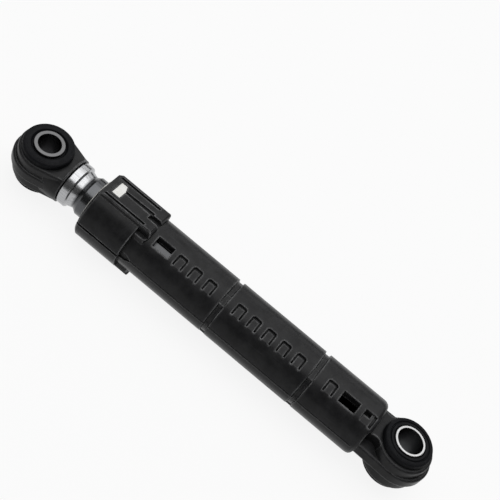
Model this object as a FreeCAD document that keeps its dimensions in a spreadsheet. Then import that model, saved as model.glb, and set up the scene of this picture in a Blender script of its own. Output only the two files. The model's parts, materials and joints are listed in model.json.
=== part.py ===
import FreeCAD, Part
import math
import os
import re
import Sketcher

# Friction damper of a washing machine: a moulded housing with an eye, and a steel rod with a second eye.
# X runs along the damper from the housing's eye, at the origin, to the rod's eye.
# Z is the axis of the housing's eye and the direction in which the moulds part.

# Driving dimensions in millimetres, and one angle in degrees.
SIZES = {
    # both eyes
    "rod_swivel": -6.2,
    "pin_clearance": 0.1,
    "sleeve_stand": 0.4,
    "sleeve_chamfer": 0.2,
    "bush_lip_height": 1.5,
    "bush_lip_thickness": 3.3,
    "bush_lip_round": 1.6,
    "bush_inner_chamfer": 0.9,
    "ring_width": 17.2,
    "ring_round": 1.3,
    "rib_width": 6.2,
    "rib_round": 1.2,
    # lower eye, from its pin outwards
    "lower_pin_radius": 6.5,
    "lower_sleeve_wall": 1.3,
    "lower_bush_wall": 3.2,
    "lower_ring_wall": 3.2,
    "lower_rib_rise": 0.5,
    "lower_rib_shift": 1.6,
    # upper eye, from its pin outwards
    "upper_pin_radius": 5.5,
    "upper_sleeve_wall": 2.0,
    "upper_bush_wall": 3.5,
    "upper_ring_wall": 2.7,
    "upper_rib_rise": 1.2,
    "upper_rib_shift": 0.4,
    # neck between the lower eye and the tube
    "foot_gap": 2.1,
    "web_inset": 1.0,
    "neck_inset": 7.5,
    "notch_radius": 4.2,
    "notch_bite": 0.4,
    # housing tube, along its length from its foot
    "housing_length": 167.4,
    "tube_wall": 3.7,
    "bore_play": 0.8,
    "foot_wall": 4.2,
    "foot_run": 3.4,
    "foot_drop": 2.4,
    "ridge_width": 0.7,
    "ridge_rise": 0.25,
    "ring_groove_low": 37.3,
    "ring_groove_high": 90.2,
    "ring_groove_width": 3.2,
    "ring_groove_floor": 2.2,
    "ring_groove_depth": 1.1,
    # row of pockets beside the centre land of the tube
    "land_half_width": 4.2,
    "pocket_width": 5.7,
    "pocket_depth": 1.3,
    "pocket_groove": 0.8,
    "tongue_drop": 0.9,
    "pocket_length": 5.3,
    "pocket_corner": 0.8,
    "pocket_pitch": 8.85,
    "pocket_low": 27.5,
    "pocket_mid": 46.4,
    "pocket_high": 99.6,
    "window_length": 9.5,
    "window_width": 5.2,
    "window_low": 16.7,
    "window_high": 127.8,
    "latch_panel": 2.1,
    "latch_panel_length": 6.5,
    "latch_slot_length": 3.7,
    "latch_slot_width": 2.2,
    # collar, along its length from the mouth
    "mouth_chamfer": 1.0,
    "collar_length": 25.0,
    "collar_rise": 2.4,
    "collar_wall": 3.2,
    "pad_rise": 2.3,
    "pad_margin": 4.4,
    "pad_slope_run": 3.1,
    "pad_slope_wall": 0.7,
    "pad_bevel": 0.6,
    "pad_line_width": 1.3,
    "pad_line_depth": 0.9,
    "near_line_inset": 1.5,
    "far_line_inset": 2.5,
    "rail_line_spread": 1.2,
    "rail_length": 6.8,
    "rail_round": 2.0,
    "near_rail_gap": 2.8,
    "far_rail_gap": 0.8,
    "shoulder_out": 2.6,
    "shoulder_drop": 4.5,
    "lug_window_inset": 4.4,
    "lug_window_length": 4.7,
    "lug_window_half_width": 4.4,
    "lug_corner_run": 1.3,
    "lug_corner_rise": 3.2,
    "split_line_width": 1.2,
    "split_line_depth": 1.6,
    "split_recess_length": 6.4,
    "split_recess_width": 4.0,
    "split_recess_depth": 0.9,
    # friction pack in the collar
    "throat_length": 2.2,
    "guide_length": 11.0,
    "guide_lip_wall": 1.4,
    "guide_lip_length": 1.2,
    "lug_sink": 0.35,
    # rod, along its length from its top
    "rod_showing": 16.6,
    "rod_length": 124.6,
    "rod_radius": 10.9,
    "rod_wall": 1.0,
    "bead_rise": 0.8,
    "bead_length": 4.6,
    "bead_round": 0.9,
    "bead_step": 0.6,
    "band_drop": 0.5,
    "crimp_drop": 1.6,
    "crimp_offset": 3.9,
    "crimp_run": 2.5,
    "spigot_tail": 9.0,
    "rod_lip_length": 1.2,
    "rod_lip_step": 0.6,
    "rod_lip_chamfer": 0.5,
    # rod guide
    "rod_guide_flange": 4.0,
    "rod_guide_barb": 4.0,
    "rod_guide_taper": 0.8,
    "rod_guide_wall": 2.5,
    # neck between the upper eye and the rod
    "neck_gap": 3.4,
    "neck_rise": 0.7,
    "neck_flare": 0.8,
    "neck_cone_length": 9.1,
    "neck_nose_run": 4.8,
    "neck_nose_drop": 3.0,
    "cheek_inset": 2.8,
    # clearances
    "seat_gap": 0.1,
    "run_gap": 0.3,
}

# Sizes that follow from the driving ones.
FORMULAS = {
    "half_ring": "ring_width / 2",
    "half_rib": "rib_width / 2",
    "lip_seat": "half_ring + seat_gap",
    "half_bush": "lip_seat + bush_lip_thickness",
    "half_sleeve": "half_bush + sleeve_stand",
    "tube_bore_radius": "rod_radius + bore_play",
    "tube_radius": "tube_bore_radius + tube_wall",
    "ridge_radius": "tube_radius + ridge_rise",
    "foot_x": "lower_ring_radius + foot_gap",
    "foot_end_x": "foot_x + foot_run",
    "bore_floor_x": "foot_x + foot_wall",
    "neck_half_width": "tube_radius - neck_inset",
    "notch_y": "neck_half_width + notch_radius",
    "notch_reach": "lower_ring_radius + notch_radius - notch_bite",
    "notch_x": "sqrt(notch_reach * notch_reach - notch_y * notch_y)",
    "pocket_outer_y": "land_half_width + pocket_width",
    "tongue_top": "sqrt(tube_radius * tube_radius - land_half_width * land_half_width) - tongue_drop",
    "tongue_foot": "sqrt(tube_radius * tube_radius - pocket_outer_y * pocket_outer_y)",
    "latch_panel_end": "latch_panel + latch_panel_length",
    "mouth_x": "foot_x + housing_length",
    "eye_distance": "mouth_x + rod_showing - rod_top",
    "collar_end_x": "mouth_x - collar_length",
    "collar_radius": "tube_radius + collar_rise",
    "pad_height": "tube_radius + pad_rise",
    "pad_half_width": "lug_window_half_width + pad_margin",
    "bevel_height": "pad_height - pad_bevel",
    "bevel_half_width": "pad_half_width - pad_bevel",
    "rail_end_x": "collar_end_x - rail_length",
    "rail_root_x": "collar_end_x + pad_bevel",
    "shoulder_half_width": "pad_half_width + shoulder_out",
    "shoulder_height": "pad_height - shoulder_drop",
    "lug_end_x": "mouth_x - lug_window_inset",
    "lug_start_x": "lug_end_x - lug_window_length",
    "throat_end_x": "collar_end_x + throat_length",
    "throat_radius": "rod_radius + run_gap",
    "chamber_radius": "collar_radius - collar_wall",
    "guide_foot_x": "mouth_x - guide_length",
    "guide_lip_x": "mouth_x + guide_lip_length",
    "guide_lip_radius": "throat_radius + guide_lip_wall",
    "pack_radius": "chamber_radius - seat_gap",
    "lug_root": "(throat_radius + pack_radius) / 2",
    "rod_top": "-(upper_ring_radius + neck_gap)",
    "bead_radius": "rod_radius + bead_rise",
    "band_radius": "rod_radius - band_drop",
    "crimp_radius": "rod_radius - crimp_drop",
    "bead_foot": "rod_top - bead_length",
    "crimp_x": "bead_foot - crimp_offset",
    "rod_shoulder": "crimp_x - crimp_run",
    "rod_end": "rod_top - rod_length",
    "rod_inner_radius": "rod_radius - rod_wall",
    "rod_lip_radius": "rod_inner_radius - rod_lip_step",
    "barb_throat": "rod_lip_radius - run_gap",
    "spigot_end": "rod_shoulder - spigot_tail",
    "neck_radius": "bead_radius + neck_rise",
    "neck_end": "rod_top + seat_gap",
    "neck_root_x": "rod_top + neck_cone_length",
    "neck_root_radius": "neck_radius + neck_flare",
    "neck_nose_x": "neck_root_x + neck_nose_run",
}
for side in ("lower", "upper"):
    FORMULAS |= {
        f"{side}_bore_radius": f"{side}_pin_radius + pin_clearance",
        f"{side}_sleeve_radius": f"{side}_bore_radius + {side}_sleeve_wall",
        f"{side}_bush_hole_radius": f"{side}_sleeve_radius + seat_gap",
        f"{side}_seat_radius": f"{side}_bush_hole_radius + {side}_bush_wall",
        f"{side}_lip_radius": f"{side}_seat_radius + bush_lip_height",
        f"{side}_hole_radius": f"{side}_seat_radius + seat_gap",
        f"{side}_ring_radius": f"{side}_hole_radius + {side}_ring_wall",
        f"{side}_rib_radius": f"{side}_ring_radius + {side}_rib_rise",
    }

SAFE_REACH = "2 * tube_radius"

doc = FreeCAD.newDocument("shock_absorber")
sheet = doc.addObject("Spreadsheet::Sheet", "Sizes")
for row, (alias, number) in enumerate(SIZES.items(), 1):
    sheet.set(f"A{row}", alias)
    sheet.set(f"B{row}", str(number))
    sheet.setAlias(f"B{row}", alias)
doc.recompute()


def bind(formula):
    """The formula with every size written as a cell of the sheet."""
    def spell(match):
        word = match.group(0)
        if word in FORMULAS:
            return "(" + bind(FORMULAS[word]) + ")"
        return "Sizes." + word if word in SIZES else word
    return re.sub(r"[a-z][a-z_]*", spell, formula)


def value(formula):
    """The formula's number at the sheet's present sizes."""
    return float(sheet.evalExpression(bind(formula)))


def new_body(label, at_rod_eye=False, turned=False):
    """An empty body at the housing's eye, or at the rod's eye and turned with it."""
    body = doc.addObject("PartDesign::Body", label)
    body.Label = label
    body.Placement = FreeCAD.Placement(FreeCAD.Vector(), FreeCAD.Rotation(FreeCAD.Vector(1, 0, 0), 1))
    body.setExpression("Placement.Base.x", bind("eye_distance") if at_rod_eye else "0")
    body.setExpression("Placement.Rotation.Angle", bind("rod_swivel") if turned else "0")
    return body


def origin_item(body, role):
    return next(item for item in body.Origin.OriginFeatures if item.Role == role)


def new_sketch(body, name, plane, lift=None):
    """A sketch on one of the body's own planes, or lifted off it by a formula."""
    item = body.newObject("Sketcher::SketchObject", name)
    item.AttachmentSupport = [(origin_item(body, plane), "")]
    item.MapMode = "FlatFace"
    if lift:
        item.setExpression("AttachmentOffset.Base.z", bind(lift))
    return item


def hold(item, measures):
    """Adds measures to a sketch: a kind of constraint, what it holds, and the formula that drives it."""
    rules = [Sketcher.Constraint(kind, *held, value(formula)) for kind, held, formula in measures]
    for index, (kind, held, formula) in zip(item.addConstraint(rules), measures):
        item.setExpression(f"Constraints[{index}]", bind(formula))


def place(geometry, position, x, y):
    """Measures that hold a point of the sketch at two formulas."""
    return [("DistanceX", (-1, 1, geometry, position), x), ("DistanceY", (-1, 1, geometry, position), y)]


def draw_outlines(item, outlines):
    """Closed outlines of straight lines, each through points given as pairs of formulas."""
    lines, joints, measures = [], [], []
    for points in outlines:
        first = item.GeometryCount + len(lines)
        corners = [FreeCAD.Vector(value(x), value(y), 0) for x, y in points]
        count = len(corners)
        for i in range(count):
            after = (i + 1) % count
            lines.append(Part.LineSegment(corners[i], corners[after]))
            joints.append(Sketcher.Constraint("Coincident", first + i, 2, first + after, 1))
            measures += place(first + i, 1, *points[i])
    item.addGeometry(lines, False)
    item.addConstraint(joints)
    hold(item, measures)


def box(x_low, x_high, y_low, y_high):
    return [(x_low, y_low), (x_high, y_low), (x_high, y_high), (x_low, y_high)]


def draw_circle(item, x, y, radius):
    geometry = item.GeometryCount
    centre = FreeCAD.Vector(value(x), value(y), 0)
    item.addGeometry(Part.Circle(centre, FreeCAD.Vector(0, 0, 1), value(radius)), False)
    hold(item, place(geometry, 3, x, y) + [("Radius", (geometry,), radius)])


def draw_teardrop(item, centre, radius, end, half_width):
    """A round end about (centre, 0) whose tangent sides run to a straight end across X."""
    middle = FreeCAD.Vector(value(centre), 0, 0)
    round_end = Part.Circle(middle, FreeCAD.Vector(0, 0, 1), value(radius))
    corner = FreeCAD.Vector(value(end), value(half_width), 0)
    far_corner = FreeCAD.Vector(corner.x, -corner.y, 0)
    way = corner - middle
    turn = math.acos(round_end.Radius / way.Length)
    heading = math.atan2(way.y, way.x)
    if way.x > 0:
        arc = Part.ArcOfCircle(round_end, heading + turn, 2 * math.pi - heading - turn)
        corners = [far_corner, corner]
    else:
        arc = Part.ArcOfCircle(round_end, turn - heading, heading - turn)
        corners = [corner, far_corner]
    stops = [arc.EndPoint, *corners, arc.StartPoint]
    item.addGeometry([arc] + [Part.LineSegment(*stops[i:i + 2]) for i in range(3)], False)
    item.addConstraint([
        Sketcher.Constraint("Tangent", 0, 2, 1, 1),
        Sketcher.Constraint("Coincident", 1, 2, 2, 1),
        Sketcher.Constraint("Coincident", 2, 2, 3, 1),
        Sketcher.Constraint("Tangent", 3, 2, 0, 1),
    ])
    sides = [half_width, f"-({half_width})"]
    if way.x > 0:
        sides.reverse()
    hold(item, place(0, 3, centre, "0") + [("Radius", (0,), radius)]
         + place(2, 1, end, sides[0]) + place(2, 2, end, sides[1]))


def settle(feature):
    """Recomputes the document and stops at a feature that failed."""
    doc.recompute()
    if not feature.isValid() or feature.Shape.isNull():
        raise RuntimeError(feature.Name + " failed")
    return feature


def revolve(body, name, outlines, cut=False, axis="H_Axis"):
    """Turns outlines of (x, radius) about the damper's axis, or of (radius, z) about the eye's axis."""
    item = new_sketch(body, name + "_outline", "XZ_Plane")
    draw_outlines(item, outlines)
    feature = body.newObject("PartDesign::Groove" if cut else "PartDesign::Revolution", name)
    feature.Profile = item
    feature.ReferenceAxis = (item, [axis])
    feature.Angle = 360
    return settle(feature)


def pad(body, item, length, both_ways=True):
    """Pads a sketch by a length in all, half of it to each side of its plane or all of it to one side."""
    feature = body.newObject("PartDesign::Pad", item.Name + "_pad")
    feature.Profile = item
    if both_ways:
        feature.SideType = "Symmetric"
    feature.setExpression("Length", bind(length))
    return settle(feature)


def pocket(body, item, depth=SAFE_REACH, through=False):
    """Cuts a sketch out of the body, upwards or to both sides, and checks that the cut meets the solid."""
    before = body.Shape.Volume
    feature = body.newObject("PartDesign::Pocket", item.Name + "_cut")
    feature.Profile = item
    feature.Reversed = True
    if through:
        feature.SideType = "Symmetric"
    feature.setExpression("Length", bind(f"2 * {depth}" if through else depth))
    settle(feature)
    if body.Shape.Volume > before - 1e-6:
        raise RuntimeError(feature.Name + " cuts nothing")
    return feature


def mirror(body, features, plane):
    """Repeats features on the other side of one of the body's planes."""
    feature = body.newObject("PartDesign::Mirrored", features[0].Name + "_twin")
    feature.Originals = features
    feature.MirrorPlane = (origin_item(body, plane), [""])
    body.Tip = feature
    return settle(feature)


def round_edges(body, name, radius, wanted):
    """Rounds the edges of the body's tip for which wanted(edge) holds."""
    tip = body.Tip
    names = [f"Edge{i}" for i, edge in enumerate(tip.Shape.Edges, 1) if wanted(edge)]
    feature = body.newObject("PartDesign::Fillet", name)
    feature.Base = (tip, names)
    feature.setExpression("Radius", bind(radius))
    return settle(feature)


def near(number, formula):
    return abs(number - value(formula)) < 1e-4


def is_circle(edge, radius, axis="z"):
    """True for a circular edge of this radius about a line along the axis."""
    curve = edge.Curve
    return (curve.TypeId == "Part::GeomCircle" and near(curve.Radius, radius)
            and abs(abs(getattr(curve.Axis, axis)) - 1) < 1e-6)


def is_rim(edge, height):
    """True for an edge along a plate's outline at a height to either side, but not for its straight end."""
    bounds = edge.BoundBox
    level = bounds.ZLength < 1e-4 and near(abs(bounds.ZMax), height)
    return level and bounds.XLength > 1e-3


def make_bush(label, side, **seat):
    """Rubber bush: a seat in the eye's hole between two lips that lie on the eye's faces."""
    body = new_body(label, **seat)
    hole, seat, lip = f"{side}_bush_hole_radius", f"{side}_seat_radius", f"{side}_lip_radius"
    revolve(body, label + "_ring", [[
        (hole, "-half_bush + bush_inner_chamfer"),
        (f"{hole} + bush_inner_chamfer", "-half_bush"),
        (lip, "-half_bush"),
        (lip, "-lip_seat"),
        (seat, "-lip_seat"),
        (seat, "lip_seat"),
        (lip, "lip_seat"),
        (lip, "half_bush"),
        (f"{hole} + bush_inner_chamfer", "half_bush"),
        (hole, "half_bush - bush_inner_chamfer"),
    ]], axis="V_Axis")
    round_edges(body, label + "_lips", "bush_lip_round",
                lambda edge: is_circle(edge, lip) and near(abs(edge.Curve.Center.z), "half_bush"))
    return body


def make_sleeve(label, side, **seat):
    """Steel sleeve that takes the pin, chamfered at both ends."""
    body = new_body(label, **seat)
    bore, outside = f"{side}_bore_radius", f"{side}_sleeve_radius"
    revolve(body, label + "_ring", [[
        (bore, "-half_sleeve + sleeve_chamfer"),
        (f"{bore} + sleeve_chamfer", "-half_sleeve"),
        (f"{outside} - sleeve_chamfer", "-half_sleeve"),
        (outside, "-half_sleeve + sleeve_chamfer"),
        (outside, "half_sleeve - sleeve_chamfer"),
        (f"{outside} - sleeve_chamfer", "half_sleeve"),
        (f"{bore} + sleeve_chamfer", "half_sleeve"),
        (bore, "half_sleeve - sleeve_chamfer"),
    ]], axis="V_Axis")
    return body


def eye_plate(body, name, kind, drawing):
    """A plate across the eye, as wide as a ring or a rib, with its outline rounded."""
    item = new_sketch(body, name, "XY_Plane")
    drawing(item)
    pad(body, item, kind + "_width")
    round_edges(body, name + "_rim", kind + "_round", lambda edge: is_rim(edge, "half_" + kind))


def eye_hole(body, side):
    """Bores the eye for its bush."""
    hole = new_sketch(body, "eye_hole", "XY_Plane")
    draw_circle(hole, "0", "0", f"{side}_hole_radius")
    pocket(body, hole, through=True)


def make_housing():
    """The moulded tube with the collar at its mouth and the lower eye at its foot."""
    body = new_body("housing")
    eye_plate(body, "web", "rib", lambda item: draw_teardrop(
        item, "-lower_rib_shift", "lower_rib_radius", "foot_end_x", "tube_radius - web_inset"))
    eye_plate(body, "ring", "ring", lambda item: draw_circle(item, "0", "0", "lower_ring_radius"))
    revolve(body, "barrel", [[
        ("foot_x", "0"),
        *quarter_round("foot_x", "tube_radius", "foot_run", "foot_drop"),
        ("collar_end_x", "tube_radius"),
        ("collar_end_x", "collar_radius"),
        ("mouth_x - mouth_chamfer", "collar_radius"),
        ("mouth_x", "collar_radius - mouth_chamfer"),
        ("mouth_x", "0"),
    ]])
    lower_neck(body)
    collar_pads(body)
    tube_face(body)
    revolve(body, "bore", [[
        ("bore_floor_x", "0"),
        ("bore_floor_x", "tube_bore_radius"),
        ("collar_end_x", "tube_bore_radius"),
        ("collar_end_x", "throat_radius"),
        ("throat_end_x", "throat_radius"),
        ("throat_end_x", "chamber_radius"),
        ("mouth_x", "chamber_radius"),
        ("mouth_x", "0"),
    ]], cut=True)
    tube_windows(body)
    collar_lines(body)
    eye_hole(body, "lower")
    return body


def quarter_round(end, top, run, drop):
    """Points of a rounded end in four flats, from the end's face up to its top."""
    turns = [math.radians(22.5 * i) for i in range(5)]
    return [(f"{end} + {1 - math.cos(turn):.4f} * {run}",
             f"{top} - {1 - math.sin(turn):.4f} * {drop}") for turn in turns]


def lower_neck(body):
    """Block from the ring to the foot of the tube, hollowed on both sides by a round notch."""
    block = new_sketch(body, "neck_block", "XY_Plane")
    draw_outlines(block, [[
        ("0", "0"),
        ("notch_x", "-notch_y"),
        ("foot_end_x", "-notch_y"),
        ("foot_end_x", "notch_y"),
        ("notch_x", "notch_y"),
    ]])
    pad(body, block, "ring_width")
    notches = new_sketch(body, "neck_notches", "XY_Plane", "half_rib")
    for sign in ("", "-"):
        draw_circle(notches, "notch_x", f"{sign}notch_y", "notch_radius")
    mirror(body, [pocket(body, notches)], "XY_Plane")


def collar_pads(body):
    """Two flat pads on the collar, bevelled along their sides, with rails that run on past its end."""
    plateau = new_sketch(body, "pad_section", "YZ_Plane", "collar_end_x")
    corners = [("bevel_half_width", "pad_height"), ("pad_half_width", "bevel_height")]
    quarters = (("", "", 1), ("", "-", -1), ("-", "-", 1), ("-", "", -1))
    draw_outlines(plateau, [[(y_sign + y, z_sign + z) for y_sign, z_sign, step in quarters
                             for y, z in corners[::step]]])
    pad(body, plateau, "collar_length", both_ways=False)
    rails, shoulders = [], []
    for sign, gap in (("", "near_rail_gap"), ("-", "far_rail_gap")):
        rails.append([(sign + y, z_sign + z) for z_sign, step in (("", 1), ("-", -1))
                      for y, z in [(gap, "pad_height"), *corners][::step]])
        shoulders.append([
            ("rail_end_x", sign + gap),
            ("rail_end_x", f"{sign}pad_half_width"),
            ("rail_end_x + rail_round / 2", f"{sign}shoulder_half_width"),
            ("rail_root_x", f"{sign}shoulder_half_width"),
            ("rail_root_x", sign + gap),
        ])
    bars = new_sketch(body, "rails", "YZ_Plane", "rail_end_x")
    draw_outlines(bars, rails)
    pad(body, bars, "rail_root_x - rail_end_x", both_ways=False)
    steps = new_sketch(body, "shoulders", "XY_Plane")
    draw_outlines(steps, shoulders)
    pad(body, steps, "2 * shoulder_height")
    pad_ends(body)


def pad_ends(body):
    """Rounds the free tips of the rails, and slopes the pads and the collar down at the mouth."""
    ends = new_sketch(body, "pad_ends", "XZ_Plane")
    outlines = []
    for sign in ("", "-"):
        tip = quarter_round("rail_end_x", "pad_height", "rail_round", "rail_round")
        outlines.append([(x, f"{sign}({z})") for x, z in [
            *tip,
            ("rail_end_x + rail_round", "pad_height + rail_round"),
            ("rail_end_x - rail_round", "pad_height + rail_round"),
            ("rail_end_x - rail_round", "pad_height - rail_round"),
        ]])
        outlines.append([(x, f"{sign}({z})") for x, z in [
            ("mouth_x - pad_slope_run", "pad_height"),
            ("mouth_x", "chamber_radius + pad_slope_wall"),
            ("mouth_x + mouth_chamfer", "chamber_radius + pad_slope_wall"),
            ("mouth_x + mouth_chamfer", "pad_height + collar_rise"),
            ("mouth_x - pad_slope_run", "pad_height + collar_rise"),
        ]])
    draw_outlines(ends, outlines)
    pocket(body, ends, "pad_half_width", through=True)


def tube_face(body):
    """Parting ridge, ring grooves and a row of shallow pockets, above and below, on the solid tube."""
    ridge = new_sketch(body, "parting_ridge", "XY_Plane")
    draw_outlines(ridge, [box("foot_end_x", "collar_end_x", "-ridge_radius", "ridge_radius")])
    pad(body, ridge, "ridge_width")
    grooves = [ring_groove(f"foot_x + ring_groove_{name}") for name in ("low", "high")]
    revolve(body, "ring_grooves", grooves, cut=True)
    centres = [f"foot_x + {start} + {i} * pocket_pitch"
               for start, count in (("pocket_low", 1), ("pocket_mid", 5), ("pocket_high", 3))
               for i in range(count)]
    panel = box("foot_x + latch_panel", "foot_x + latch_panel_end", "land_half_width", "pocket_outer_y")
    pockets = new_sketch(body, "pockets", "XY_Plane")
    draw_outlines(pockets, [panel] + [pocket_outline(centre) for centre in centres])
    pocket(body, pockets, through=True)
    tongues = new_sketch(body, "tongues", "YZ_Plane", "foot_end_x")
    draw_outlines(tongues, [[
        ("land_half_width", "-tongue_top"),
        ("pocket_outer_y", "-tongue_foot"),
        ("pocket_outer_y", "tongue_foot"),
        ("land_half_width", "tongue_top"),
    ]])
    pad(body, tongues, "collar_end_x - foot_end_x", both_ways=False)
    grooves = new_sketch(body, "pocket_grooves", "XY_Plane")
    draw_outlines(grooves, [pocket_outline(centre, "pocket_groove") for centre in centres])
    pocket(body, grooves, through=True)
    floor = "tube_radius - pocket_depth"
    revolve(body, "groove_floors", [box("foot_x + foot_run / 2", "collar_end_x", "0", floor)])


def ring_groove(centre):
    """A groove round the tube, from above its surface down to a narrower floor."""
    return [
        (f"{centre} - ring_groove_width / 2", "ridge_radius"),
        (f"{centre} - ring_groove_floor / 2", "tube_radius - ring_groove_depth"),
        (f"{centre} + ring_groove_floor / 2", "tube_radius - ring_groove_depth"),
        (f"{centre} + ring_groove_width / 2", "ridge_radius"),
    ]


def pocket_outline(centre, groove=None):
    """One pocket beside the land, with two corners cut off, or the groove along three of its sides."""
    low, high = f"{centre} - pocket_length / 2", f"{centre} + pocket_length / 2"
    outline = [
        (low, "pocket_outer_y"),
        (low, "land_half_width + pocket_corner"),
        (f"{low} + pocket_corner", "land_half_width"),
        (f"{high} - pocket_corner", "land_half_width"),
        (high, "land_half_width + pocket_corner"),
        (high, "pocket_outer_y"),
    ]
    if groove:
        outline += [
            (f"{high} - {groove}", "pocket_outer_y"),
            (f"{high} - {groove}", f"land_half_width + {groove}"),
            (f"{low} + {groove}", f"land_half_width + {groove}"),
            (f"{low} + {groove}", "pocket_outer_y"),
        ]
    return outline


def tube_windows(body):
    """Open windows at both ends of the pocket rows, and the narrow latch slot at the foot."""
    outlines = [box("foot_x + latch_panel_end - latch_slot_length", "foot_x + latch_panel_end",
                    "land_half_width", "land_half_width + latch_slot_width")]
    for name in ("window_low", "window_high"):
        centre = f"foot_x + {name}"
        outlines.append(box(f"{centre} - window_length / 2", f"{centre} + window_length / 2",
                            "land_half_width", "land_half_width + window_width"))
    windows = new_sketch(body, "windows", "XY_Plane")
    draw_outlines(windows, outlines)
    pocket(body, windows, through=True)


def lug_outline(gap):
    """A lug's outline in its window, one corner cut off, smaller all round by the gap."""
    return [
        (f"lug_start_x + {gap}", f"lug_window_half_width - {gap}"),
        (f"lug_end_x - {gap}", f"lug_window_half_width - {gap}"),
        (f"lug_end_x - {gap}", f"-lug_window_half_width + {gap}"),
        (f"lug_start_x + lug_corner_run + {gap}", f"-lug_window_half_width + {gap}"),
        (f"lug_start_x + {gap}", f"-lug_window_half_width + lug_corner_rise + {gap}"),
    ]


def collar_lines(body):
    """Lines on the pads, the lug windows, and the split line along the collar's sides."""
    lines = new_sketch(body, "pad_lines", "XY_Plane", "pad_height - pad_line_depth")
    outlines = [
        box("collar_end_x - pad_line_width", "mouth_x + mouth_chamfer",
            f"{middle} - pad_line_width / 2", f"{middle} + pad_line_width / 2")
        for middle in ("pad_half_width - near_line_inset", "far_line_inset - pad_half_width")
    ]
    outlines.append([
        ("collar_end_x - pad_line_width", "-far_rail_gap - rail_line_spread"),
        ("lug_start_x + pad_line_width", "-far_rail_gap - pad_line_width / 2"),
        ("lug_start_x + pad_line_width", "-far_rail_gap + pad_line_width / 2"),
        ("collar_end_x - pad_line_width", "-far_rail_gap + rail_line_spread"),
    ])
    draw_outlines(lines, outlines)
    mirror(body, [pocket(body, lines)], "XY_Plane")
    lugs = new_sketch(body, "lug_windows", "XY_Plane")
    draw_outlines(lugs, [lug_outline("0")])
    pocket(body, lugs, through=True)
    split = new_sketch(body, "split_lines", "XZ_Plane", "collar_radius - split_line_depth")
    draw_outlines(split, [box("collar_end_x - split_line_width", "mouth_x + mouth_chamfer",
                              "-split_line_width / 2", "split_line_width / 2")])
    recess = new_sketch(body, "split_recess", "XZ_Plane", "tube_radius - split_recess_depth")
    draw_outlines(recess, [[
        ("collar_end_x - split_recess_length", "0"),
        ("collar_end_x - split_recess_length / 2", "-split_recess_width / 2"),
        ("collar_end_x", "-split_recess_width / 2"),
        ("collar_end_x", "split_recess_width / 2"),
        ("collar_end_x - split_recess_length / 2", "split_recess_width / 2"),
    ]])
    mirror(body, [pocket(body, split), pocket(body, recess)], "XZ_Plane")


def make_guide_bush():
    """Guide in the mouth: a ring that shows as a lip round the rod, with two lugs in the pad windows."""
    body = new_body("guide_bush")
    revolve(body, "guide_ring", [[
        ("guide_foot_x", "throat_radius"),
        ("guide_foot_x", "pack_radius"),
        ("mouth_x - mouth_chamfer", "pack_radius"),
        ("mouth_x", "guide_lip_radius"),
        ("guide_lip_x", "guide_lip_radius"),
        ("guide_lip_x", "throat_radius"),
    ]])
    lug = new_sketch(body, "lug", "XY_Plane", "lug_root")
    draw_outlines(lug, [lug_outline("seat_gap")])
    mirror(body, [pad(body, lug, "pad_height - lug_sink - lug_root", both_ways=False)], "XY_Plane")
    return body


def make_lining():
    """Foam ring that grips the rod, between the collar's throat and the guide bush."""
    body = new_body("friction_lining")
    revolve(body, "lining_ring", [box("throat_end_x + seat_gap", "guide_foot_x - seat_gap",
                                      "throat_radius", "pack_radius")])
    return body


def crimp_line(inset):
    """The rolled end of the rod from its top to its plain length, set in by a formula."""
    return [
        ("rod_top", f"bead_radius - ({inset})"),
        ("bead_foot", f"bead_radius - ({inset})"),
        ("bead_foot - bead_step", f"band_radius - ({inset})"),
        ("crimp_x", f"crimp_radius - ({inset})"),
        ("rod_shoulder", f"rod_radius - ({inset})"),
    ]


def make_rod_tube():
    """Steel tube, beaded and rolled onto the upper eye, with a lip rolled in at its inner end."""
    body = new_body("rod_tube", at_rod_eye=True, turned=True)
    outside = crimp_line("0") + [
        ("rod_end + rod_lip_chamfer", "rod_radius"),
        ("rod_end", "rod_radius - rod_lip_chamfer"),
        ("rod_end", "rod_lip_radius"),
        ("rod_end + rod_lip_length", "rod_lip_radius"),
        ("rod_end + rod_lip_length", "rod_inner_radius"),
    ]
    inside = crimp_line("rod_wall")
    revolve(body, "rod_shell", [outside + inside[::-1]])
    round_edges(body, "bead_edges", "bead_round", lambda edge: is_circle(edge, "bead_radius", "x"))
    return body


def make_rod_guide():
    """Plastic guide held by the lip at the rod's inner end, running in the housing's bore."""
    body = new_body("rod_guide", at_rod_eye=True)
    face = "rod_end - run_gap"
    barb = "rod_end + rod_lip_length + run_gap"
    hole = "barb_throat - rod_guide_wall"
    revolve(body, "guide_stem", [[
        (f"{face} - rod_guide_flange", hole),
        (f"{face} - rod_guide_flange", "tube_bore_radius - run_gap - rod_guide_taper"),
        (f"{face} - rod_guide_flange + rod_guide_taper", "tube_bore_radius - run_gap"),
        (face, "tube_bore_radius - run_gap"),
        (face, "barb_throat"),
        (barb, "barb_throat"),
        (barb, "rod_inner_radius - run_gap"),
        (f"{barb} + rod_guide_barb", "rod_inner_radius - run_gap - rod_guide_taper"),
        (f"{barb} + rod_guide_barb", hole),
    ]])
    return body


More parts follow.
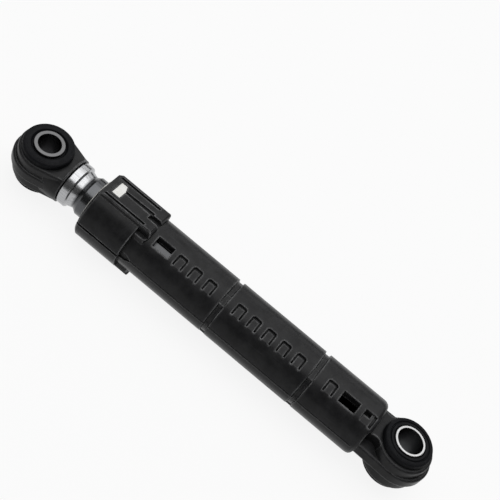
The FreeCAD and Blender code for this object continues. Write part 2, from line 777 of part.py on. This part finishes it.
def make_upper_eye():
    """Moulded eye with a round neck and a spigot that the rod tube is rolled onto."""
    body = new_body("upper_eye", at_rod_eye=True, turned=True)
    eye_plate(body, "web", "rib", lambda item: draw_teardrop(
        item, "upper_rib_shift", "upper_rib_radius", "rod_top + rod_wall", "neck_radius - rod_wall"))
    eye_plate(body, "ring", "ring", lambda item: draw_teardrop(
        item, "0", "upper_ring_radius", "neck_end + rod_wall / 2", "neck_radius - cheek_inset"))
    spigot = crimp_line("rod_wall + seat_gap")[1:]
    revolve(body, "spigot", [[
        ("neck_nose_x", "0"),
        ("neck_nose_x", "neck_root_radius - neck_nose_drop"),
        ("neck_root_x", "neck_root_radius"),
        ("neck_end", "neck_radius"),
        ("neck_end", "bead_radius - rod_wall - seat_gap"),
        *spigot,
        ("spigot_end", "rod_inner_radius - seat_gap"),
        ("spigot_end", "0"),
    ]])
    flats = new_sketch(body, "neck_flats", "XY_Plane", "half_ring")
    draw_outlines(flats, [box("neck_end + rod_wall", "0", "-neck_root_radius", "neck_root_radius")])
    mirror(body, [pocket(body, flats)], "XY_Plane")
    eye_hole(body, "upper")
    return body


def export(bodies):
    """Checks every object of the document, then writes each sub-part to its own file."""
    doc.recompute()
    for item in doc.Objects:
        if "Invalid" in item.State or "Error" in item.State:
            raise RuntimeError(f"{item.Name} failed: {item.State}")
    for body in bodies:
        if body.Shape.isNull() or not body.Shape.isValid() or len(body.Shape.Solids) != 1:
            raise RuntimeError(f"{body.Label} is not one valid solid")
    os.makedirs("parts", exist_ok=True)
    for body in bodies:
        body.Shape.exportStep(f"parts/{body.Label}.step")
        print(body.Label, round(body.Shape.Volume / 1000, 2), "cm3")


export([
    make_housing(),
    make_guide_bush(),
    make_lining(),
    make_bush("lower_bush", "lower"),
    make_sleeve("lower_sleeve", "lower"),
    make_rod_guide(),
    make_rod_tube(),
    make_upper_eye(),
    make_bush("upper_bush", "upper", at_rod_eye=True, turned=True),
    make_sleeve("upper_sleeve", "upper", at_rod_eye=True, turned=True),
])
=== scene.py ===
import json
import math
import bpy
from mathutils import Matrix, Vector


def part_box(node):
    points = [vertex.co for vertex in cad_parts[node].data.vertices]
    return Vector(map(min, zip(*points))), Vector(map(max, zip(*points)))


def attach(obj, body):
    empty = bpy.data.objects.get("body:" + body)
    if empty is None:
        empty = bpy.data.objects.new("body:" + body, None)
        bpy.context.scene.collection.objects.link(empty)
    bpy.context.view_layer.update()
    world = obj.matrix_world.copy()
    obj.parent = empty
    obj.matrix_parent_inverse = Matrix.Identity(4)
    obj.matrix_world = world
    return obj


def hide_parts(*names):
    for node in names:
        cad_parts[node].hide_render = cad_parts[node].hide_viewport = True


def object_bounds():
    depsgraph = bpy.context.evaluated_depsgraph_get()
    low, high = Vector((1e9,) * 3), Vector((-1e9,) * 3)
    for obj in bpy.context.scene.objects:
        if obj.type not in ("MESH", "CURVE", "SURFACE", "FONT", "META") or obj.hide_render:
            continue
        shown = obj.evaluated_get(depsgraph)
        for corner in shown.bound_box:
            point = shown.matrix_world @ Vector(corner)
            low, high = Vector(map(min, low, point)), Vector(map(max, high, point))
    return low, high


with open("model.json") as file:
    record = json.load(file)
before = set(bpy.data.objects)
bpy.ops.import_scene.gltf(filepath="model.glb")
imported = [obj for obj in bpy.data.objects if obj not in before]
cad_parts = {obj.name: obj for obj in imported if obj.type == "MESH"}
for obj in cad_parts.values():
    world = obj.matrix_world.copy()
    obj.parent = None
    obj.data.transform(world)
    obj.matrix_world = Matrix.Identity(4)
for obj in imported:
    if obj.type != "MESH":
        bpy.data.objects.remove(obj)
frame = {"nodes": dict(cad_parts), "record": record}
cad_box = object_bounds()

MM = 0.001
nodes = frame["nodes"]
mounts = {mount["name"]: mount for mount in frame["record"]["mounts"]}


def eye_place(mount):
    """An eye's centre, with Z along its pin: the eyes are turned only about the long axis."""
    _, side, up = mount["axis"]
    return Matrix.Translation(mount["pos_m"]) @ Matrix.Rotation(math.atan2(-side, up), 4, "X")


# The eyes and their bores, and places along and across the tube, in metres.
LOWER_EYE = eye_place(mounts["lower_eye_bore"])
UPPER_EYE = eye_place(mounts["upper_eye_bore"])
LOWER_BORE = mounts["lower_eye_bore"]["dims"]["r_mm"] * MM
UPPER_BORE = mounts["upper_eye_bore"]["dims"]["r_mm"] * MM
TUBE_FOOT_X = 19.5 * MM
TUBE_MOUTH_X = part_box("housing")[1][0]
TUBE_BORE = 11.8 * MM
# Where the rod starts to be painted darker, as shade inside the housing.
ROD_SHADE_X = 160 * MM
ROD_CRIMP_X = 192 * MM

# Width over which one finish runs into the next at a boundary.
SOFT_STEP = 0.3 * MM

# The bushes, in millimetres: both have the same lips.
HALF_BUSH = 12.0
LIP_SEAT = 8.7
LIP_RADIUS = 12.7
LIP_ROUND = 1.6
SEAT_RADIUS = 11.2

# Steps of a turned bush: across its face, and round its axis.
FACE_STEPS = 90
TURN_STEPS = 128

# The floor, in metres, with its grey and the share of plain white in it.
FLOOR_HALF = 12.0
FLOOR_GAP = 0.05 * MM
FLOOR_GREY = 0.62
FLOOR_WHITE = 0.88


class Shader:
    """The node tree of a material or the world, with short ways to add and link nodes."""

    def __init__(self, owner):
        owner.use_nodes = True
        self.owner = owner
        self.tree = owner.node_tree
        self.tree.nodes.clear()

    def node(self, kind, inputs=None, **settings):
        item = self.tree.nodes.new("ShaderNode" + kind)
        for key, setting in settings.items():
            setattr(item, key, setting)
        for key, given in (inputs or {}).items():
            self.feed(item.inputs[key], given)
        return item

    def feed(self, socket, given):
        """Links another node's output to a socket, or sets the socket's value."""
        if isinstance(given, bpy.types.NodeSocket):
            self.tree.links.new(given, socket)
        else:
            socket.default_value = given

    def place(self, scale=(1, 1, 1), eye=None):
        """Coordinates in the part's frame, or about an eye's own axis, in metres times the scale."""
        spot = self.node("TexCoord").outputs["Object"]
        if eye is not None:
            spot = self.node("Mapping", {"Vector": spot, "Location": eye.translation,
                                         "Rotation": eye.to_euler()}, vector_type="TEXTURE").outputs[0]
        return self.node("Mapping", {"Vector": spot, "Scale": scale}).outputs[0]

    def along(self):
        """Place along the damper."""
        return self.node("SeparateXYZ", {"Vector": self.place()}).outputs["X"]

    def radius(self, across, eye=None):
        """Distance from an axis: the scale of the coordinates across it is 1, and along it 0."""
        flat = self.place(across, eye)
        return self.node("VectorMath", {0: flat}, operation="LENGTH").outputs["Value"]

    def noise(self, vector, scale, detail=3.0, rough=0.55):
        return self.node("TexNoise", {"Vector": vector, "Scale": scale, "Detail": detail,
                                      "Roughness": rough}).outputs[0]

    def span(self, value, low, high, to_low, to_high):
        """Maps a value from one range to another, held at the ends."""
        return self.node("MapRange", {"Value": value, "From Min": low, "From Max": high,
                                      "To Min": to_low, "To Max": to_high}).outputs[0]

    def blend(self, factor, first, second):
        """Mixes two colours, each a node's output or three numbers."""
        item = self.node("Mix", {0: factor}, data_type="RGBA")
        for socket, given in ((item.inputs[6], first), (item.inputs[7], second)):
            self.feed(socket, given if isinstance(given, bpy.types.NodeSocket) else (*given, 1))
        return item.outputs[2]

    def compute(self, operation, first, second):
        return self.node("Math", {0: first, 1: second}, operation=operation).outputs[0]

    def bump(self, height, distance, strength=1.0, normal=None):
        inputs = {"Height": height, "Distance": distance, "Strength": strength}
        if normal is not None:
            inputs["Normal"] = normal
        return self.node("Bump", inputs).outputs[0]

    def soft_edges(self, radius):
        return self.node("Bevel", {"Radius": radius}, samples=6).outputs[0]

    def close(self, **inputs):
        """Ends a material with one surface shader."""
        sockets = {key.replace("_", " "): given for key, given in inputs.items()}
        surface = self.node("BsdfPrincipled", sockets)
        self.node("OutputMaterial", {"Surface": surface.outputs[0]})
        return self.owner


def new_material(name):
    return Shader(bpy.data.materials.new(name))


def black_plastic():
    """Glass-filled moulding: satin, with a fine spark-eroded grain, flow marks, faint rubs, and painted
    highlights on convex edges.

    Hollows are painted darker as shade, and the bore is painted dark as shade and made rough, as the core of
    the mould was not polished.
    """
    s = new_material("black_plastic")
    spot = s.place()
    along = s.along()
    # Mask of the bore, which is made rough and painted near black as shade.
    bore = s.span(s.radius((0, 1, 1)), TUBE_BORE, TUBE_BORE + SOFT_STEP, 1, 0)
    bore = s.compute("MULTIPLY", bore, s.span(along, TUBE_FOOT_X, TUBE_FOOT_X + SOFT_STEP, 0, 1))
    bore = s.compute("MULTIPLY", bore, s.span(along, TUBE_MOUTH_X, TUBE_MOUTH_X + SOFT_STEP, 1, 0))
    open_air = s.node("AmbientOcclusion", {"Distance": 1.6 * MM}, samples=8, only_local=True).outputs["AO"]
    # Mask of the hollows, where the ambient occlusion is low: painted shade in the colour, and rougher.
    shaded_hollows = s.span(open_air, 0.40, 0.88, 1, 0)
    # Painted highlight: convex edges, found where a wide bevel normal turns away from the true normal, are
    # lightened in patches.
    flat = s.node("NewGeometry").outputs["Normal"]
    turned = s.node("VectorMath", {0: s.soft_edges(1.5 * MM), 1: flat}, operation="DOT_PRODUCT")
    edge_highlight = s.compute("MULTIPLY", s.span(turned.outputs["Value"], 0.86, 0.99, 1, 0),
                     s.span(open_air, 0.72, 0.92, 0, 1))
    edge_highlight = s.compute("MULTIPLY", edge_highlight, s.span(s.noise(spot, 240, 4, 0.6), 0.36, 0.64, 0.3, 1))
    cloud = s.span(s.noise(spot, 170, 6, 0.62), 0.34, 0.66, 0, 1)
    flow = s.noise(s.place((30, 260, 260)), 1, 3)
    grain = s.noise(spot, 5200, 2)
    rub = s.span(s.noise(s.place((60, 700, 700)), 1, 5, 0.65), 0.62, 0.74, 0, 0.5)
    tone = s.blend(cloud, (0.0074, 0.0075, 0.0080), (0.0165, 0.0166, 0.0172))
    colour = s.blend(rub, tone, (0.030, 0.030, 0.0308))
    colour = s.blend(edge_highlight, colour, (0.150, 0.150, 0.153))
    # Painted shade: the shaded hollows and the bore are darkened to near black.
    colour = s.blend(s.compute("MAXIMUM", shaded_hollows, bore), colour, (0.0030, 0.0030, 0.0032))
    rough = s.compute("MAXIMUM", s.span(flow, 0.3, 0.7, 0.27, 0.38), s.span(shaded_hollows, 0, 1, 0, 0.8))
    rough = s.compute("MAXIMUM", rough, s.span(bore, 0, 1, 0, 0.9))
    normal = s.bump(flow, 0.012 * MM, 0.4, s.bump(grain, 0.010 * MM, 0.5, s.soft_edges(0.5 * MM)))
    return s.close(Base_Color=colour, Roughness=rough, Normal=normal, Specular_IOR_Level=0.14)


def bush_rubber():
    """Moulded rubber: matte, a little dusty, with a soft skin."""
    s = new_material("bush_rubber")
    spot = s.place()
    dust = s.span(s.noise(spot, 160, 5, 0.6), 0.42, 0.75, 0, 0.6)
    skin = s.noise(spot, 2600, 3)
    colour = s.blend(dust, (0.0042, 0.0044, 0.0054), (0.0082, 0.0085, 0.0096))
    rough = s.span(s.noise(spot, 420, 3), 0.3, 0.7, 0.52, 0.70)
    normal = s.bump(skin, 0.02 * MM, 0.5, s.soft_edges(0.3 * MM))
    return s.close(Base_Color=colour, Roughness=rough, Normal=normal, Specular_IOR_Level=0.10)


def pale_plastic():
    """Natural acetal: milky, waxy, with faint grease stains, and painted darker as shade, in a mottle, on
    the lip outside the mouth.
    """
    s = new_material("pale_plastic")
    spot = s.place()
    stain = s.span(s.noise(spot, 210, 5, 0.6), 0.45, 0.8, 0, 0.55)
    colour = s.blend(stain, (0.67, 0.668, 0.65), (0.56, 0.545, 0.50))
    # Painted shade: the lip outside the mouth is darkened, in a mottle.
    lip = s.span(s.along(), TUBE_MOUTH_X, TUBE_MOUTH_X + SOFT_STEP, 0, 1)
    lip_shade = s.compute("MULTIPLY", lip, s.span(s.noise(spot, 300, 4), 0.35, 0.65, 0.5, 1))
    colour = s.blend(lip_shade, colour, (0.27, 0.262, 0.24))
    rough = s.span(s.noise(spot, 600, 3), 0.3, 0.7, 0.36, 0.5)
    normal = s.bump(s.noise(spot, 3000, 2), 0.01 * MM, 0.4, s.soft_edges(0.25 * MM))
    return s.close(Base_Color=colour, Roughness=rough, Normal=normal)


def lining_foam():
    """Greased open-cell foam."""
    s = new_material("lining_foam")
    spot = s.place()
    cells = s.node("TexVoronoi", {"Vector": spot, "Scale": 1500.0}).outputs[0]
    lip_shade = s.noise(spot, 240, 4)
    colour = s.blend(lip_shade, (0.44, 0.41, 0.34), (0.28, 0.26, 0.21))
    rough = s.span(lip_shade, 0.3, 0.7, 0.85, 0.5)
    return s.close(Base_Color=colour, Roughness=rough, Normal=s.bump(cells, 0.15 * MM, 0.8))


def rod_steel():
    """Drawn tube: bright plate on the rolled end, darker where it slides, and painted darker still as shade
    inside the housing.
    """
    s = new_material("rod_steel")
    along = s.along()
    rings = s.noise(s.place((4200, 60, 60)), 1, 4, 0.6)
    cloud = s.noise(s.place(), 130, 4)
    rolled_end = s.span(along, ROD_CRIMP_X, ROD_CRIMP_X + 1.2 * MM, 0, 1)
    slid = s.blend(cloud, (0.070, 0.072, 0.076), (0.105, 0.107, 0.111))
    # Painted shade: the rod is darkened inside the housing, fading out towards the mouth.
    slid = s.blend(s.span(along, ROD_SHADE_X, TUBE_MOUTH_X, 1, 0), slid, (0.064, 0.065, 0.067))
    plated = s.blend(cloud, (0.37, 0.375, 0.385), (0.46, 0.462, 0.468))
    streaks = s.span(s.noise(s.place((90, 1900, 1900)), 1, 3, 0.6), 0.48, 0.70, 0, 0.5)
    plated = s.blend(streaks, plated, (0.17, 0.172, 0.178))
    colour = s.blend(rolled_end, slid, plated)
    rough = s.span(rings, 0.3, 0.7, 0.17, 0.29)
    normal = s.bump(rings, 0.006 * MM, 0.35, s.soft_edges(0.2 * MM))
    return s.close(Base_Color=colour, Metallic=1.0, Roughness=rough, Normal=normal)


def sleeve_steel(name, eye, bore, face, inside):
    """Cut and turned steel tube: bright ends with fine rings, and a bore painted dark as shade."""
    s = new_material(name)
    radial = s.radius((1, 1, 0), eye)
    lines = s.noise(s.node("CombineXYZ", {"X": radial}).outputs[0], 5200, 4, 0.65)
    cloud = s.noise(s.place(eye=eye), 240, 4)
    outside = s.span(radial, bore + 0.05 * MM, bore + 0.25 * MM, 0, 1)
    # Painted shade: the bore takes the dark inside colour.
    bore_shade = s.blend(cloud, [0.7 * tone for tone in inside], inside)
    bright = s.blend(cloud, [0.8 * tone for tone in face], face)
    colour = s.blend(outside, bore_shade, bright)
    rough = s.span(lines, 0.3, 0.7, 0.24, 0.38)
    normal = s.bump(lines, 0.008 * MM, 0.5, s.soft_edges(0.15 * MM))
    return s.close(Base_Color=colour, Metallic=1.0, Roughness=rough, Normal=normal)


def dress(names, material):
    for name in names:
        slots = nodes[name].data.materials
        slots.clear()
        slots.append(material)


dress(["housing", "upper_eye"], black_plastic())
dress(["guide_bush", "rod_guide"], pale_plastic())
dress(["friction_lining"], lining_foam())
dress(["rod_tube"], rod_steel())
# The inside colours are painted shade in the bores of the sleeves.
dress(["lower_sleeve"], sleeve_steel("lower_sleeve_steel", LOWER_EYE, LOWER_BORE,
                                     face=(0.56, 0.56, 0.56), inside=(0.075, 0.077, 0.080)))
dress(["upper_sleeve"], sleeve_steel("upper_sleeve_steel", UPPER_EYE, UPPER_BORE,
                                     face=(0.14, 0.14, 0.142), inside=(0.020, 0.020, 0.022)))


def dent(radius, middle, half_width, depth):
    """Depth of a smooth round groove at a radius."""
    reach = abs(radius - middle) / half_width
    return depth * (0.5 + 0.5 * math.cos(math.pi * reach)) if reach < 1 else 0.0


def bush_face(radius, hole, grooves):
    """Height of a bush's face: flat, rolled over at the lip, with ring grooves."""
    top = HALF_BUSH
    if radius > LIP_RADIUS - LIP_ROUND:
        out = radius - (LIP_RADIUS - LIP_ROUND)
        top += math.sqrt(max(LIP_ROUND ** 2 - out ** 2, 0)) - LIP_ROUND
    return top - sum(dent(radius, hole + start, half_width, depth) for start, half_width, depth in grooves)


def bush_profile(hole, grooves):
    """Closed section of a bush as radius and height: its face, lip and seat, then the same below."""
    steps = [math.sin(0.5 * math.pi * i / FACE_STEPS) for i in range(FACE_STEPS + 1)]
    face = [hole + (LIP_RADIUS - hole) * step for step in steps]
    half = [(radius, bush_face(radius, hole, grooves)) for radius in face]
    half += [(LIP_RADIUS, LIP_SEAT), (SEAT_RADIUS, LIP_SEAT)]
    return half + [(radius, -height) for radius, height in reversed(half)]


def lathe_bush(name, node, body, eye, hole, grooves, material):
    """A moulded bush turned about the eye's axis, with its ring grooves on both faces."""
    profile = bush_profile(hole, grooves)
    size = len(profile)
    points, faces = [], []
    for turn in range(TURN_STEPS):
        angle = 2 * math.pi * turn / TURN_STEPS
        points += [eye @ Vector((radius * MM * math.cos(angle), radius * MM * math.sin(angle), height * MM))
                   for radius, height in profile]
        here, there = turn * size, (turn + 1) % TURN_STEPS * size
        for i in range(size):
            after = (i + 1) % size
            faces.append((here + i, here + after, there + after, there + i))
    mesh = bpy.data.meshes.new(name)
    mesh.from_pydata(points, [], faces)
    mesh.validate()
    mesh.shade_smooth()
    mesh.set_sharp_from_angle(angle=math.radians(50))
    mesh.materials.append(material)
    piece = bpy.data.objects.new(name, mesh)
    bpy.context.scene.collection.objects.link(piece)
    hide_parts(node)
    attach(piece, body)


# Ring grooves of each bush: distance of the middle from the hole, half width and depth, in millimetres.
FINE_RIDGES = [(3.05 + 0.42 * i, 0.19, 0.10) for i in range(3)]
rubber = bush_rubber()
lathe_bush("lower_bush_moulded", "lower_bush", "housing", LOWER_EYE, 8.0,
           [(0.05, 0.55, 1.2), (2.15, 0.60, 0.75), *FINE_RIDGES], rubber)
lathe_bush("upper_bush_moulded", "upper_bush", "rod", UPPER_EYE, 7.7,
           [(0.35, 1.15, 1.5), *FINE_RIDGES], rubber)


def make_floor():
    """A wide white floor that keeps a faint shadow and shows white in mirrors."""
    level = cad_box[0][2] - FLOOR_GAP
    mesh = bpy.data.meshes.new("floor")
    corners = [(x * FLOOR_HALF, y * FLOOR_HALF, level) for x, y in ((-1, -1), (1, -1), (1, 1), (-1, 1))]
    mesh.from_pydata(corners, [], [(0, 1, 2, 3)])
    floor = bpy.data.objects.new("floor", mesh)
    bpy.context.scene.collection.objects.link(floor)
    s = new_material("floor_white")
    ray = s.node("LightPath").outputs
    direct = s.compute("MAXIMUM", ray["Is Camera Ray"], ray["Is Glossy Ray"])
    direct = s.compute("MAXIMUM", direct, ray["Is Transmission Ray"])
    share = s.compute("MULTIPLY", direct, FLOOR_WHITE)
    matte = s.node("BsdfDiffuse", {"Color": (FLOOR_GREY, FLOOR_GREY, FLOOR_GREY, 1)})
    white = s.node("Emission", {"Color": (1, 1, 1, 1), "Strength": 1.0})
    both = s.node("MixShader", {0: share, 1: matte.outputs[0], 2: white.outputs[0]})
    s.node("OutputMaterial", {"Surface": both.outputs[0]})
    mesh.materials.append(s.owner)


def make_world():
    """A dim studio: a little paler low down than overhead."""
    world = bpy.data.worlds.new("studio")
    bpy.context.scene.world = world
    s = Shader(world)
    height = s.node("SeparateXYZ", {"Vector": s.node("TexCoord").outputs["Generated"]}).outputs["Z"]
    level = s.span(height, 0.0, 0.3, 0.12, 0.10)
    light = s.node("Background", {"Color": (1, 1, 1, 1), "Strength": level})
    s.node("OutputWorld", {"Surface": light.outputs[0]})


def softbox(name, place, target, width, height, power):
    """A rectangular area lamp that faces the target, in metres and watts."""
    data = bpy.data.lights.new(name, "AREA")
    data.shape = "RECTANGLE"
    data.size = width
    data.size_y = height
    data.energy = power
    lamp = bpy.data.objects.new(name, data)
    bpy.context.scene.collection.objects.link(lamp)
    lamp.location = place
    lamp.rotation_euler = (Vector(target) - Vector(place)).to_track_quat("-Z", "Y").to_euler()


def make_lamps():
    """One large lamp overhead, and two behind the part that carry its light towards the far edge."""
    softbox("overhead", place=(0.16, 0.10, 0.90), target=(0.16, 0.10, 0), width=1.5, height=1.10, power=11.4)
    softbox("behind", place=(0.16, -0.76, 0.90), target=(0.16, -0.76, 0), width=1.5, height=0.62, power=4.4)
    softbox("low_behind", place=(0.16, -1.02, 0.50), target=(0.16, 0, 0), width=1.5, height=0.36, power=1.9)


def make_camera():
    """The photograph's view, fitted to the two eyes and the tube: place in millimetres, turn in degrees."""
    place = Vector((80.60, 344.65, 390.78))
    turn = (38.7390, -24.3997, -147.5744)
    data = bpy.data.cameras.new("photo_view")
    data.sensor_width = 36.0
    data.lens = 79.13
    data.clip_start = 0.01
    data.clip_end = 100.0
    camera = bpy.data.objects.new("photo_view", data)
    camera.location = place * MM
    camera.rotation_euler = [math.radians(angle) for angle in turn]
    bpy.context.scene.collection.objects.link(camera)
    bpy.context.scene.camera = camera


make_floor()
make_world()
make_lamps()
make_camera()
bpy.context.scene.view_settings.view_transform = "Standard"
